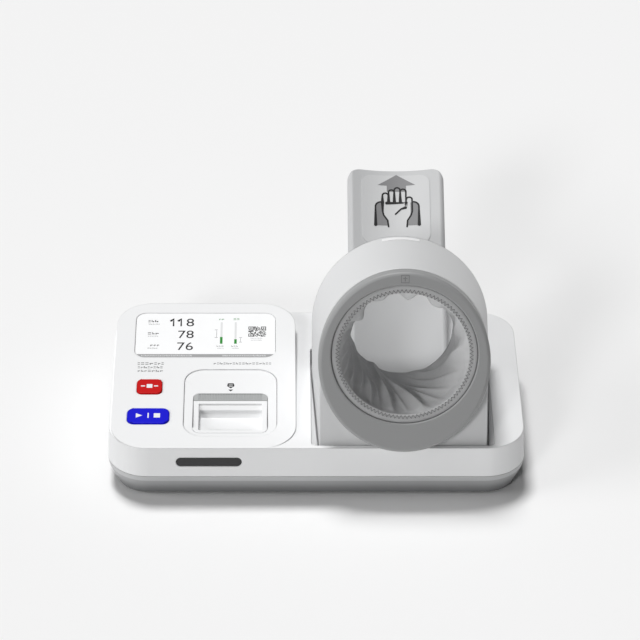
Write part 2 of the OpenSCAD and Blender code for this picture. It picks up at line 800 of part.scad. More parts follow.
module tilt_cradle() {
    a0 = barrel_r1 - 1;
    color("gray") difference() {
        union() {
            translate([arm_x, 0, cradle_z0]) linear_extrude(cradle_z1 - cradle_z0)
                polygon([[-a0, skirt_y0 + 0.4], [a0, skirt_y0 + 0.4], [barrel_r2 - 2, 16], [knuckle_x1, 16],
                    [knuckle_x1, pivot_y], [-knuckle_x1, pivot_y], [-knuckle_x1, 16], [2 - barrel_r2, 16]]);
            for (s = [-1, 1]) translate([arm_x, pivot_y, pivot_z]) rotate([0, 0, s > 0 ? 0 : 180])
                x_cyl(knuckle_x0, knuckle_x1, knuckle_r);
            for (s = [-1, 1]) translate([arm_x + s * 50 - 10, pivot_y - 10, cradle_z1 - 1]) cube([20, 8, 5]);
        }
        translate([arm_x, pivot_y, pivot_z]) x_cyl(-knuckle_x1 - 1, knuckle_x1 + 1, pivot_r);
        translate([arm_x, 10, 0]) cylinder(h = 100, r = 6);
        translate([arm_x - 50, -100, 0]) cube([100, 80, 100]);
    }
}

module barrel_form(w0, w1, inset) {
    low = -60;
    hull() {
        along_y(w0, w0 + eps) polygon(arch(barrel_r1 - inset, axis_h, low));
        along_y(w1 - eps, w1) polygon(arch(barrel_r2 - inset, axis_h, low));
    }
}

module barrel_housing() {
    color("whitesmoke") difference() {
        in_tunnel() difference() {
            barrel_form(front_w, barrel_l, 0);
            barrel_form(front_w + barrel_wall, barrel_l + 1, barrel_wall);
            axis_cyl(front_w - 5, front_w + 10, mouth_a + 0.8);
        }
        below(cradle_z1);
        translate([-big / 2, -big + skirt_y0, -big / 2]) cube([big, big, big]);
    }
}

module bezel_ring() {
    edge = 2.5;
    color("gray") difference() {
        in_tunnel() difference() {
            hull() {
                translate([0, 0, ring_b]) along_y(0, eps) polygon(oval(ring_a - edge, ring_b - edge));
                translate([0, 0, ring_b]) along_y(edge, front_w - 0.1) polygon(oval(ring_a, ring_b));
            }
            translate([0, 0, axis_h]) along_y(-1, ring_t + 1) polygon(oval(mouth_a, mouth_b));
        }
        below(base_h + 1);
    }
}

module rear_cover() {
    w0 = barrel_l - barrel_wall;
    color("whitesmoke") difference() {
        in_tunnel() difference() {
            along_y(w0, barrel_l) polygon(arch(barrel_r2 - barrel_wall - 0.6, axis_h, -60));
            axis_cyl(w0 - 1, barrel_l + 1, collar_r1 + collar_t + 0.2);
            for (a = [20:64:340]) translate([88 * cos(a), w0 - 1, axis_h + 88 * sin(a)]) rotate([-90, 0, 0])
                cylinder(h = 6, r = screw_r + 0.2);
        }
        below(cradle_z1 + 0.3);
    }
}

module rear_collar() {
    w1 = barrel_l + 0.1;
    color("gray") difference() {
        in_tunnel() translate([0, 0, axis_h]) rotate([-90, 0, 0]) rotate_extrude($fn = 96)
            polygon([[collar_r0, collar_w0], [collar_r0 + collar_t, collar_w0], [collar_r1 + collar_t, w1 - 4],
                [collar_r1 + collar_t, w1], [collar_r1 + 8, w1], [collar_r1 + 8, w1 + 1.4],
                [collar_r1, w1 + 1.4], [collar_r1, w1 - 3]]);
        below(cradle_z1 + 0.3);
    }
}

module cover_screws() {
    color("silver") in_tunnel() for (a = [20:64:340]) if (sin(a) > -0.4)
        translate([88 * cos(a), barrel_l - 8, axis_h + 88 * sin(a)]) rotate([-90, 0, 0]) difference() {
            union() {
                cylinder(h = 8, r = screw_r);
                translate([0, 0, 8.05]) cylinder(h = 1.6, r = screw_head_r);
            }
            translate([0, 0, 8.8]) cylinder(h = 2, r = 1.2, $fn = 6);
        }
}

module cuff_drum() {
    color("slategray") in_tunnel() difference() {
        axis_cyl(front_w + barrel_wall, drum_w1, drum_r);
        axis_cyl(front_w, drum_w1 + 1, drum_r - drum_wall);
    }
}

// Mean radius of the sleeve, from its front hem to its narrow back end
function sleeve_mean(t) =
    sleeve_r0 + (waist_r + sleeve_t - sleeve_r0) * (0.5 - 0.5 * cos(180 * pow(t, 0.85)));
function fold_height(t) = 3.2 * sin(180 * min(1, t * 0.9 + 0.1)) + 0.2;

// Point j round loop k of the ring between loops k0 and k1, with half a seam gap at an end that meets a ring
function sleeve_point(j, k, k0, k1, inner) =
    let (seam = sleeve_seam / 2 / (sleeve_w1 - sleeve_w0),
         t = k / sleeve_along + (k == k0 && k > 0 ? seam : 0) - (k == k1 && k < sleeve_along ? seam : 0),
         a = 360 * j / sleeve_around,
         fold = fold_height(t) * cos(sleeve_folds * (a + sleeve_twist * t)),
         r = sleeve_mean(t) + fold - (inner ? sleeve_t : 0),
         oval_x = 1 + (mouth_a / mouth_b - 1) * (1 - t))
    [r * oval_x * cos(a), sleeve_w0 + (sleeve_w1 - sleeve_w0) * t, axis_h + r * sin(a)];

module sleeve_ring(k0, k1) {
    n = sleeve_around;
    m = k1 - k0;
    layer = n * (m + 1);
    points = [for (inner = [false, true], k = [k0:k1], j = [0:n - 1]) sleeve_point(j, k, k0, k1, inner)];
    skin = [for (k = [0:m - 1], j = [0:n - 1]) let (i = (j + 1) % n)
        each [[k * n + j, k * n + i, (k + 1) * n + i], [k * n + j, (k + 1) * n + i, (k + 1) * n + j]]];
    lining = [for (f = skin) [f[2] + layer, f[1] + layer, f[0] + layer]];
    front = [for (j = [0:n - 1]) let (i = (j + 1) % n) each [[j, layer + j, layer + i], [j, layer + i, i]]];
    back = [for (j = [0:n - 1]) let (i = (j + 1) % n, b = m * n)
        each [[b + j, layer + b + i, layer + b + j], [b + j, b + i, layer + b + i]]];
    color("darkgray") in_tunnel() polyhedron(points, concat(skin, lining, front, back));
}

module sleeve_front() {
    sleeve_ring(0, sleeve_along / 3);
}

module sleeve_middle() {
    sleeve_ring(sleeve_along / 3, sleeve_along * 2 / 3);
}

module sleeve_rear() {
    sleeve_ring(sleeve_along * 2 / 3, sleeve_along);
}

module sleeve_hem() {
    color("silver") in_tunnel() translate([0, 0, axis_h]) along_y(hem_w0, hem_w0 + hem_t) difference() {
        polygon(oval(mouth_a - soft_gap, mouth_b - soft_gap));
        polygon(oval(mouth_a - hem_band, mouth_b - hem_band));
    }
}

module air_bladder() {
    w0 = 28;
    w1 = drum_w1 - 2;
    r1 = drum_r - drum_wall - soft_gap;
    color("dimgray") in_tunnel() translate([0, 0, axis_h]) rotate([-90, 0, 0]) rotate_extrude($fn = 96)
        polygon([[r1, w0 + 3], [r1, w1 - 3], [r1 - 3, w1], [r1 - 9, w1 - 2], [r1 - 10, w1 - 12],
            [r1 - 5, w0 + 24], [r1 - 3, w0 + 4], [r1 - 2, w0]]);
}

module id_strip() {
    // lies on the top of the barrel, just in front of its back edge
    rise = (barrel_r2 - barrel_r1) / (barrel_l - front_w);
    lean = atan(rise);
    w = barrel_l - 8;
    color("silver") in_tunnel() translate([0, 0, axis_h]) intersection() {
        difference() {
            hull() {
                translate([0, front_w, 0]) rotate([-90, 0, 0])
                    cylinder(h = eps, r = barrel_r1 + 0.5, $fn = 160);
                translate([0, barrel_l, 0]) rotate([-90, 0, 0])
                    cylinder(h = eps, r = barrel_r2 + 0.5, $fn = 160);
            }
            hull() {
                translate([0, front_w - 1, 0]) rotate([-90, 0, 0])
                    cylinder(h = eps, r = barrel_r1 + 0.05, $fn = 160);
                translate([0, barrel_l + 1, 0]) rotate([-90, 0, 0])
                    cylinder(h = eps, r = barrel_r2 + 0.1, $fn = 160);
            }
        }
        translate([0, w - 4, 60]) linear_extrude(60) polygon(round_rect(42, 9, 1.5));
    }
}

// Section of the forearm rest: a shallow hollow between two rolled edges, flat underneath
rest_crest = rest_a - rest_lip_r * (1 + sin(rest_edge_angle()));
function rest_edge_angle() = 18;
function hollow_radius() = (rest_crest * rest_crest + rest_hollow * rest_hollow) / (2 * rest_hollow);
function hollow_n(x) = -rest_hollow + hollow_radius() - sqrt(pow(hollow_radius(), 2) - x * x);
rest_under = -rest_hollow - rest_t;

function rest_section() =
    let (lip_x = rest_a - rest_lip_r, lip_n = -rest_lip_r * cos(rest_edge_angle()))
    concat(
        [for (i = [-12:12]) [rest_crest * i / 12, hollow_n(rest_crest * i / 12)]],
        arc(lip_x, lip_n, rest_lip_r, 90 + rest_edge_angle() - 12, 0, 8),
        [[rest_a, lip_n - 1], [rest_a - 4, rest_under], [-rest_a + 4, rest_under], [-rest_a, lip_n - 1]],
        [for (p = arc(-lip_x, lip_n, rest_lip_r, 180, 90 - rest_edge_angle() + 12, 8)) p]);

module forearm_rest() {
    color("lightgray") difference() {
        in_rest() intersection() {
            along_y(-14, rest_l) polygon(rest_section());
            translate([0, 0, -40]) linear_extrude(80) polygon(concat(
                arc(rest_a - rest_end_r, rest_l - rest_end_r, rest_end_r, 0, 90, 12),
                arc(-rest_a + rest_end_r, rest_l - rest_end_r, rest_end_r, 90, 180, 12),
                [[-rest_a, -20], [rest_a, -20]]));
        }
        in_tunnel() translate([-big / 2, barrel_l + 2 - big, -big / 2]) cube([big, big, big]);
        below(cradle_z1 + 0.3);
    }
}

module sign_plate() {
    half = sign_w / 2;
    color("lightgray") in_rest() intersection() {
        along_y(0, rest_l) polygon(concat(
            [for (i = [-12:12]) [half * i / 12, hollow_n(half * i / 12) + 0.02]],
            [for (i = [12:-1:-12]) [half * i / 12, hollow_n(half * i / 12) + sign_t]]));
        translate([0, rest_l - sign_end - sign_l / 2, -40]) linear_extrude(80)
            polygon(round_rect(sign_w, sign_l, 12));
    }
}

module rest_neck() {
    color("lightgray") hull() {
        translate([arm_x - 34, 28, cradle_z1 + 0.05]) cube([68, 12, eps]);
        in_rest() translate([-30, 14, rest_under - 0.3]) cube([60, 30, eps]);
    }
}

lower_shell();
rubber_feet();
base_screws();
upper_shell();
well_pan();
cradle_bumpers();
screen_lens();
display_module();
main_board();
key_board();
pressure_sensor();
printer_fascia();
tear_comb();
print_head();
paper_bucket();
lid_hinge_pins();
scanner_window();
scanner_module();
speaker();
air_pump();
exhaust_valve();
air_hose();
power_supply();
power_inlet();
switch_frame();
pivot_pins();
tilt_cradle();
barrel_housing();
bezel_ring();
rear_cover();
rear_collar();
cover_screws();
cuff_drum();
air_bladder();
sleeve_front();
sleeve_middle();
sleeve_rear();
sleeve_hem();
id_strip();
forearm_rest();
sign_plate();
rest_neck();
start_button();
stop_button();
printer_lid();
platen_roller();
paper_roll();
power_switch();
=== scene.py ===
import json
import math
import random

import bmesh
import bpy
from mathutils import Matrix, Vector
from mathutils.geometry import delaunay_2d_cdt

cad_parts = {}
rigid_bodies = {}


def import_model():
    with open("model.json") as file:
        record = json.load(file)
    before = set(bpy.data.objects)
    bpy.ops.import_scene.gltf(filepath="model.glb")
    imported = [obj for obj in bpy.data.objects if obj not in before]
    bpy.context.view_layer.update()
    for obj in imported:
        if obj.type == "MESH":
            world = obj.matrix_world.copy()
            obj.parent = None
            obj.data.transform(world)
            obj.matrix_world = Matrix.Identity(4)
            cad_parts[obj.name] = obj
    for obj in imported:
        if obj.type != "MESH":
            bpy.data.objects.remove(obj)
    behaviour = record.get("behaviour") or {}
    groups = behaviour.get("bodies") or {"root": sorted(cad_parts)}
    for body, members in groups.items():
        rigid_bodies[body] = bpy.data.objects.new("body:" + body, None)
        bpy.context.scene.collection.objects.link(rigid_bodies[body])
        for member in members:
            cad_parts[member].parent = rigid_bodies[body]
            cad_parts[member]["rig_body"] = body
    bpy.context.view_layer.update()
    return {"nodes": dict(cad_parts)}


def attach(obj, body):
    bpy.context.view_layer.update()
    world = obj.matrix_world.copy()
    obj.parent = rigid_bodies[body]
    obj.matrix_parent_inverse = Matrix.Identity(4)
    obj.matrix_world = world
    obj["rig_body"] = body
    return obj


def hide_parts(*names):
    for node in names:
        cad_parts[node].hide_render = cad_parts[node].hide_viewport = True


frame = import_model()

nodes = frame["nodes"]
scene = bpy.context.scene
MM = 0.001

# ---------------------------------------------------------------- sizes, in millimetres

panel_front = (0, -137, 66)              # foot of the sloping panel
panel_rise, panel_run = 17, 267
lens_face, button_face, fascia_face = -0.5, 1.8, -0.8    # heights over the panel
lens_left, lens_right, lens_low, lens_round = -204.4, -45.4, 165.05, 12
belt_low, shade_fade = 24.5, 20           # foot of the pale belt round the base, and how far below it the painted shade darkens towards the floor
print_lift = 0.05                        # height of print over what it lies on
arm_x = 95                               # middle of the tunnel and the rest
mouth_foot = (arm_x, -149, 68.5)
tunnel_slope, rest_slope = -20, 28       # degrees
axis_h = 109.5                           # height of the tunnel's axis over the mouth's foot
mouth_a, mouth_b = 79.8, 77.2            # half width and half height of the mouth
sleeve_w0, sleeve_w1 = 5.3, 131.6        # where the sleeve starts and ends along the tunnel
waist_r = 57                             # the sleeve's radius at its back end
rest_foot = (arm_x, 20.8, 63.8)
rest_a, rest_lip_r, rest_lip_angle, rest_hollow = 56.2, 5.5, 18, 7
sign_t = 0.7


def sloped(foot, angle):
    return Matrix.Translation(foot) @ Matrix.Rotation(angle, 4, "X")


on_panel = sloped(panel_front, math.atan(panel_rise / panel_run))
in_tunnel = sloped(mouth_foot, math.radians(tunnel_slope))
in_rest = sloped(rest_foot, math.radians(rest_slope))


def hollow_n(x):
    """Height of the forearm rest's hollow at x from its middle."""
    crest = rest_a - rest_lip_r * (1 + math.sin(math.radians(rest_lip_angle)))
    radius = (crest ** 2 + rest_hollow ** 2) / (2 * rest_hollow)
    return -rest_hollow + radius - math.sqrt(radius ** 2 - x * x)


# ---------------------------------------------------------------- shader maths

class Value:
    """The output of a shader node. Arithmetic on it adds Math nodes."""

    def __init__(self, finish, socket):
        self.finish, self.socket = finish, socket

    def math(self, operation, other=0.5, swapped=False):
        first, second = (other, self) if swapped else (self, other)
        return self.finish.add("ShaderNodeMath", {"operation": operation}, {0: first, 1: second})

    def __add__(self, other):
        return self.math("ADD", other)

    def __sub__(self, other):
        return self.math("SUBTRACT", other)

    def __rsub__(self, other):
        return self.math("SUBTRACT", other, True)

    def __mul__(self, other):
        return self.math("MULTIPLY", other)

    def __truediv__(self, other):
        return self.math("DIVIDE", other)

    def __rtruediv__(self, other):
        return self.math("DIVIDE", other, True)

    def __gt__(self, other):
        return self.math("GREATER_THAN", other)

    def __lt__(self, other):
        return self.math("LESS_THAN", other)

    __radd__, __rmul__ = __add__, __mul__

    def sine(self):
        return self.math("SINE")

    def largest(self, other):
        return self.math("MAXIMUM", other)

    def eased(self, low, high):
        """0 below low, 1 above high, and a smooth step between them."""
        return self.finish.add("ShaderNodeMapRange", {"interpolation_type": "SMOOTHSTEP"},
                               {0: self, 1: low, 2: high, 3: 0.0, 4: 1.0})


class Finish:
    """A material: its Principled shader, with methods that add what varies over a surface."""

    def __init__(self, name, colour, roughness, **fixed):
        self.material = bpy.data.materials.new(name)
        self.material.use_nodes = True
        self.material.diffuse_color = (*colour, 1)
        self.tree = self.material.node_tree
        self.shader = self.tree.nodes["Principled BSDF"]
        self.base = (*colour, 1)
        self.shader.inputs["Base Color"].default_value = self.base
        self.shader.inputs["Roughness"].default_value = roughness
        for key, value in fixed.items():
            self.shader.inputs[key.replace("_", " ").title().replace("Ior", "IOR")].default_value = value
        self.place = self.add("ShaderNodeTexCoord", {}, {}, "Object")

    def add(self, kind, settings, inputs, out=0):
        """A node of a kind: its settings first, then the values or links of its inputs."""
        node = self.tree.nodes.new(kind)
        for key, value in settings.items():
            setattr(node, key, value)
        for key, value in inputs.items():
            if isinstance(value, Value):
                self.tree.links.new(value.socket, node.inputs[key])
            else:
                node.inputs[key].default_value = value
        return Value(self, node.outputs[out])

    def feed(self, socket, value):
        self.tree.links.new(value.socket, self.shader.inputs[socket])
        return self

    def noise(self, scale, detail=3.0):
        """Noise from 0 to 1, with scale in cells to a metre."""
        return self.add("ShaderNodeTexNoise", {}, {"Vector": self.place, "Scale": scale, "Detail": detail,
                                                   "Roughness": 0.5})

    def axes(self):
        split = self.add("ShaderNodeSeparateXYZ", {}, {0: self.place})
        return [Value(self, output) for output in split.socket.node.outputs]

    def mix(self, factor, first, second):
        return self.add("ShaderNodeMix", {"data_type": "RGBA"}, {0: factor, 6: first, 7: second}, 2)

    def tint(self, factor, other):
        """Mixes the base colour, as tinted so far, with another one."""
        self.base = self.mix(factor, self.base, (*other, 1))
        return self.feed("Base Color", self.base)

    def bump(self, height, depth, rounded=0):
        """depth is in millimetres, and so is rounded, the radius that edges are shaded to."""
        inputs = {"Height": height, "Strength": 1.0, "Distance": depth * MM}
        if rounded:
            inputs["Normal"] = self.add("ShaderNodeBevel", {"samples": 6}, {"Radius": rounded * MM})
        return self.feed("Normal", self.add("ShaderNodeBump", {}, inputs))


def shade(colour, by):
    """A colour made lighter or darker."""
    return tuple(channel * by for channel in colour)


def moulded(name, colour, roughness=0.42, grain=0.03, rounded=0, **fixed):
    """Moulded plastic: a fine sparked grain, with faint drift in colour and gloss."""
    finish = Finish(name, colour, roughness, **fixed)
    drift = finish.noise(9, 2)
    finish.tint(drift.eased(0.3, 0.8) * 0.6, shade(colour, 0.965))
    finish.feed("Roughness", drift * 0.08 + finish.noise(60, 3) * 0.06 + (roughness - 0.07))
    finish.bump(finish.noise(1400, 2) * 0.7 + finish.noise(420, 2) * 0.3, grain, rounded)
    return finish


def underside(name, belt, below):
    """Moulded plastic whose colour is painted shade: pale grey on the belt at its top, darkening towards the
    floor.
    """
    finish = moulded(name, belt, 0.45)
    height = finish.axes()[2]
    depth = (belt_low * MM - height) / (shade_fade * MM)
    # painted shade: a step darker just under the belt, then deepening further towards the floor
    return finish.tint(depth.eased(-0.03, 0.03) * 0.45 + depth.eased(0, 1) * 0.55, below)


def rubbery(name, colour):
    """Rubber: dusty and matt."""
    finish = Finish(name, colour, 0.75)
    finish.tint(finish.noise(30, 4).eased(0.35, 0.75), shade(colour, 1.9))
    finish.feed("Roughness", finish.noise(200, 3) * 0.2 + 0.62)
    finish.bump(finish.noise(900, 3), 0.06)
    return finish


def metal(name, colour, roughness=0.32, turned=900):
    """Metal with fine lines across it; turned is how close they lie."""
    finish = Finish(name, colour, roughness, metallic=1.0)
    across = finish.axes()[0]
    streaks = finish.noise(14, 3) + (across * turned).sine() * 0.12
    finish.tint(streaks.eased(0.3, 0.9) * 0.5, shade(colour, 0.72))
    finish.feed("Roughness", streaks * 0.16 + (roughness - 0.08))
    finish.bump(finish.noise(1100, 2), 0.015)
    return finish


def board(name):
    """Green solder mask with paler tracks."""
    finish = Finish(name, (0.012, 0.12, 0.05), 0.35)
    x, y, _ = finish.axes()
    tracks = ((x * 1400).sine() > 0.72).largest((y * 1150 + finish.noise(40, 1) * 5).sine() > 0.8)
    finish.tint(tracks * 0.7, (0.03, 0.24, 0.09))
    finish.feed("Roughness", tracks * 0.1 + 0.3)
    finish.bump(tracks, 0.03)
    return finish


def cloth(name, colour, worn):
    """Fine plain-woven cloth: crossed threads every 0.5 mm, with soft mottling."""
    finish = Finish(name, colour, 0.78, sheen_weight=0.18, sheen_roughness=0.45)
    x, y, z = finish.axes()
    pitch = math.tau / (0.5 * MM)
    threads = ((x + z * 0.4) * pitch).sine() * 0.5 + ((y - z * 0.35) * pitch).sine() * 0.5
    mottle = finish.noise(55, 4)
    finish.tint((mottle * 0.75 + threads * 0.12).eased(0.25, 0.7), worn)
    finish.feed("Roughness", mottle * 0.14 + 0.7)
    finish.bump(threads * 0.5 + finish.noise(260, 3), 0.1)
    return finish


def glossy(name, colour, roughness, **fixed):
    """Polished plastic with faint smears."""
    finish = Finish(name, colour, roughness, **fixed)
    smear = finish.noise(22, 3)
    finish.tint(smear.eased(0.3, 0.9) * 0.35, shade(colour, 0.9))
    finish.feed("Roughness", smear * 0.06 + (roughness - 0.03))
    finish.bump(finish.noise(45, 2), 0.01)
    return finish


white = moulded("shell white", (0.86, 0.865, 0.87), 0.4, specular_ior_level=0.4)
shell_white = moulded("upper shell white", (0.86, 0.865, 0.87), 0.4, rounded=1.8, specular_ior_level=0.4)
# the shell's white drawn darker all over: painted shade for the barrel's top
barrel_white_painted_shade = moulded("barrel white with painted shade", (0.68, 0.685, 0.69), 0.48, specular_ior_level=0.25)
# the lower shell's white drawn grey as painted shade, deepening towards the floor
underside_painted_shade = underside("underside painted shade", (0.52, 0.525, 0.53), (0.2, 0.203, 0.206))
well_grey = moulded("well grey", (0.66, 0.665, 0.67), 0.5)
comb_grey = moulded("comb grey", (0.42, 0.43, 0.43), 0.45)
rest_grey = moulded("rest grey", (0.55, 0.555, 0.56), 0.48, specular_ior_level=0.3)
sign_grey = moulded("sign grey", (0.6, 0.605, 0.61), 0.42, grain=0.01, specular_ior_level=0.3)
ring_grey = moulded("ring grey", (0.32, 0.323, 0.325), 0.5, grain=0.03)
dark = moulded("dark plastic", (0.028, 0.029, 0.031), 0.5, grain=0.05)
cradle_grey = moulded("cradle grey", (0.12, 0.122, 0.125), 0.55)
lens_white = glossy("lens white", (0.93, 0.935, 0.94), 0.2, emission_color=(1, 1, 1, 1),
                    emission_strength=0.07)
window_black = glossy("window black", (0.02, 0.02, 0.021), 0.12)
display_dark = glossy("display glass", (0.02, 0.022, 0.026), 0.1)
key_blue = moulded("key blue", (0.0, 0.0, 0.62), 0.45, grain=0.012, specular_ior_level=0.15)
key_red = moulded("key red", (0.56, 0.0, 0.0), 0.45, grain=0.012, specular_ior_level=0.15)
sleeve_cloth = cloth("sleeve cloth", (0.66, 0.663, 0.668), (0.57, 0.573, 0.577))
hem_cloth = cloth("hem cloth", (0.5, 0.502, 0.506), (0.44, 0.442, 0.446))
thread = cloth("stitching thread", (0.06, 0.06, 0.062), (0.04, 0.04, 0.042))
rubber = rubbery("black rubber", (0.02, 0.02, 0.021))
bladder_rubber = rubbery("bladder rubber", (0.08, 0.08, 0.082))
steel = metal("turned steel", (0.55, 0.55, 0.56))
tin = metal("tin plate", (0.62, 0.63, 0.64), 0.38, 200)
film = moulded("label film", (0.92, 0.92, 0.925), 0.35, grain=0.006)
mask_green = board("solder mask")
paper = moulded("receipt paper", (0.88, 0.88, 0.87), 0.7, grain=0.02)
ink = moulded("dark ink", (0.02, 0.02, 0.021), 0.6, grain=0.004, specular_ior_level=0.2)
print_ink = moulded("print ink", (0.11, 0.11, 0.112), 0.5, grain=0.004)
pale_ink = moulded("pale ink", (0.3, 0.3, 0.305), 0.5, grain=0.004)
track_ink = moulded("track ink", (0.74, 0.745, 0.75), 0.5, grain=0.004)
green_ink = moulded("green ink", (0.0, 0.24, 0.008), 0.5, grain=0.004)
white_ink = moulded("white ink", (0.84, 0.84, 0.86), 0.5, grain=0.004)
arrow_ink = moulded("arrow ink", (0.2, 0.2, 0.205), 0.5, grain=0.004)
strip_grey = moulded("status strip grey", (0.34, 0.342, 0.345), 0.5, grain=0.004)


# ---------------------------------------------------------------- making meshes

edge_angle = 32                          # degrees from which an edge counts as sharp


def piece(name, mesh, finish, body, replaced=()):
    """A piece that rides on a body. replaced names the CAD nodes that it stands for."""
    thing = bpy.data.objects.new(name, mesh)
    scene.collection.objects.link(thing)
    mesh.materials.clear()
    mesh.materials.append(finish.material)
    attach(thing, body)
    if replaced:
        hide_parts(*replaced)
    return thing


def mesh_of(name, points, faces, place=None):
    """A mesh from points in millimetres, moved by place."""
    mesh = bpy.data.meshes.new(name)
    if place is not None:
        points = [place @ Vector(point) for point in points]
    mesh.from_pydata([Vector(point) * MM for point in points], [], faces)
    mesh.validate()
    return mesh


def smoothed(mesh, angle=180):
    """Smooth shading across edges that turn by less than angle."""
    mesh.shade_smooth()
    mesh.set_sharp_from_angle(angle=math.radians(angle))
    return mesh


def tidy_faces(mesh, cell):
    """Merges doubled points and makes well-shaped triangles. cell, in millimetres, cuts them to a grid."""
    work = bmesh.new()
    work.from_mesh(mesh)
    bmesh.ops.remove_doubles(work, verts=work.verts, dist=2e-6)
    bmesh.ops.dissolve_limit(work, angle_limit=math.radians(0.6), verts=work.verts, edges=work.edges)
    bmesh.ops.triangulate(work, faces=work.faces, quad_method="BEAUTY", ngon_method="BEAUTY")
    for axis in (0, 1) if cell else ():
        low = min(v.co[axis] for v in work.verts)
        high = max(v.co[axis] for v in work.verts)
        spot = low + cell * MM * 0.37
        while spot < high:
            normal = Vector((axis == 0, axis == 1, 0))
            bmesh.ops.bisect_plane(work, geom=[*work.verts, *work.edges, *work.faces], dist=4e-5,
                                   plane_co=normal * spot, plane_no=normal)
            spot += cell * MM
    bmesh.ops.recalc_face_normals(work, faces=work.faces)
    work.to_mesh(mesh)
    work.free()


def softened(node, finish, width, segments=3, cell=0):
    """The CAD node again with edges rounded over width, in millimetres; 0 leaves them to the finish."""
    mesh = nodes[node].data.copy()
    for extra in list(mesh.attributes):
        if extra.name.startswith("custom_normal"):
            mesh.attributes.remove(extra)
    tidy_faces(mesh, cell)
    thing = piece(node + "_finished", mesh, finish, nodes[node]["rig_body"], [node])
    smoothed(mesh, edge_angle)
    if width:
        bevel = thing.modifiers.new("rounded edges", "BEVEL")
        bevel.width, bevel.segments = width * MM, segments
        bevel.angle_limit = math.radians(edge_angle)
        bevel.use_clamp_overlap = False
        bevel.miter_outer = "MITER_ARC"
    even = thing.modifiers.new("even shading", "WEIGHTED_NORMAL")
    even.keep_sharp = True
    return thing


def loft(loops):
    """Points and faces of a skin over closed loops that all have the same number of points."""
    count = len(loops[0])
    points = [point for loop in loops for point in loop]
    faces = []
    for k in range(len(loops) - 1):
        for j in range(count):
            i = (j + 1) % count
            faces.append((k * count + j, k * count + i, (k + 1) * count + i, (k + 1) * count + j))
    return points, faces


def stroke(path, width, closed=False):
    """Outlines of a pen line of one width along a path: one outline, or two where the path closes."""
    path = [Vector(point) for point in path]
    count, half, sides = len(path), width / 2, ([], [])
    for i, point in enumerate(path):
        before = path[i - 1] if closed or i else point
        after = path[(i + 1) % count] if closed or i < count - 1 else point
        into, away = (point - before), (after - point)
        into, away = into or away, away or into
        into, away = into.normalized(), away.normalized()
        normal = Vector((-into.y - away.y, into.x + away.x))
        normal = normal.normalized() if normal.length > 0.2 else Vector((-into.y, into.x))
        reach = half / max(0.5, normal.dot(Vector((-into.y, into.x))))
        sides[0].append(tuple(point + normal * reach))
        sides[1].append(tuple(point - normal * reach))
    if closed:
        return [sides[0], sides[1]]
    caps = []
    for end, nxt in ((path[-1], path[-2]), (path[0], path[1])):
        start = math.atan2(-(end - nxt).x, (end - nxt).y)
        caps.append([(end.x + half * math.cos(start - math.pi * k / 8 + math.pi),
                      end.y + half * math.sin(start - math.pi * k / 8 + math.pi)) for k in range(1, 8)][::-1])
    return [sides[1] + caps[0] + sides[0][::-1] + caps[1]]


def inside(point, loop):
    """Whether a point lies inside an outline."""
    hit, (x, y) = False, point
    for (x0, y0), (x1, y1) in zip(loop, loop[1:] + loop[:1]):
        if (y0 > y) != (y1 > y) and x < (x1 - x0) * (y - y0) / (y1 - y0) + x0:
            hit = not hit
    return hit


def filled(loops, odd=True):
    """Triangles that fill outlines. Odd leaves holes where outlines nest; otherwise they all join."""
    points, edges = [], []
    for loop in loops:
        base = len(points)
        points += [Vector(point) for point in loop]
        edges += [(base + k, base + (k + 1) % len(loop)) for k in range(len(loop))]
    verts, _, faces, *_ = delaunay_2d_cdt(points, edges, [], 0, 1e-5)
    kept = []
    for face in faces:
        middle = sum((verts[v] for v in face), Vector((0, 0))) / len(face)
        over = sum(inside(middle, loop) for loop in loops)
        if over % 2 if odd else over:
            kept.append(face)
    return [tuple(v) for v in verts], kept


def printed(name, loops, place, finish, body, odd=True, longest=None):
    """Flat print. place(x, y) gives each point's spot; longest splits edges on a curved surface."""
    points, faces = filled(loops, odd)
    work = bmesh.new()
    verts = [work.verts.new((x, y, 0)) for x, y in points]
    for face in faces:
        work.faces.new([verts[v] for v in face])
    for _ in range(6 if longest else 0):
        long_edges = [edge for edge in work.edges if abs(edge.verts[0].co.x - edge.verts[1].co.x) > longest]
        if not long_edges:
            break
        bmesh.ops.subdivide_edges(work, edges=long_edges, cuts=1)
        bmesh.ops.triangulate(work, faces=work.faces)
    for vert in list(work.verts):
        if not vert.link_faces:
            work.verts.remove(vert)
    for vert in work.verts:
        vert.co = Vector(place(vert.co.x, vert.co.y)) * MM
    mesh = bpy.data.meshes.new(name)
    work.to_mesh(mesh)
    work.free()
    return piece(name, mesh, finish, body)


def figures(text, height, x, y):
    """Outlines of plain numerals, with their right edge at x and their foot at y."""
    curve = bpy.data.curves.new("numerals", "FONT")
    curve.body, curve.align_x = text, "RIGHT"
    curve.resolution_u = 6
    holder = bpy.data.objects.new("numerals", curve)
    mesh = bpy.data.meshes.new_from_object(holder)
    top = max(v.co.y for v in mesh.vertices)
    low = min(v.co.y for v in mesh.vertices)
    right = max(v.co.x for v in mesh.vertices)
    scale = height / (top - low)
    points = [((v.co.x - right) * scale + x, (v.co.y - low) * scale + y) for v in mesh.vertices]
    faces = [tuple(p.vertices) for p in mesh.polygons]
    bpy.data.objects.remove(holder)
    bpy.data.curves.remove(curve)
    bpy.data.meshes.remove(mesh)
    return points, faces


def tunnel_point(radius_x, radius_z, angle, w):
    """A point at an angle round the tunnel's axis, counted from the right, w along it."""
    return (radius_x * math.cos(angle), w, axis_h + radius_z * math.sin(angle))


# ---------------------------------------------------------------- shells and fixed pieces

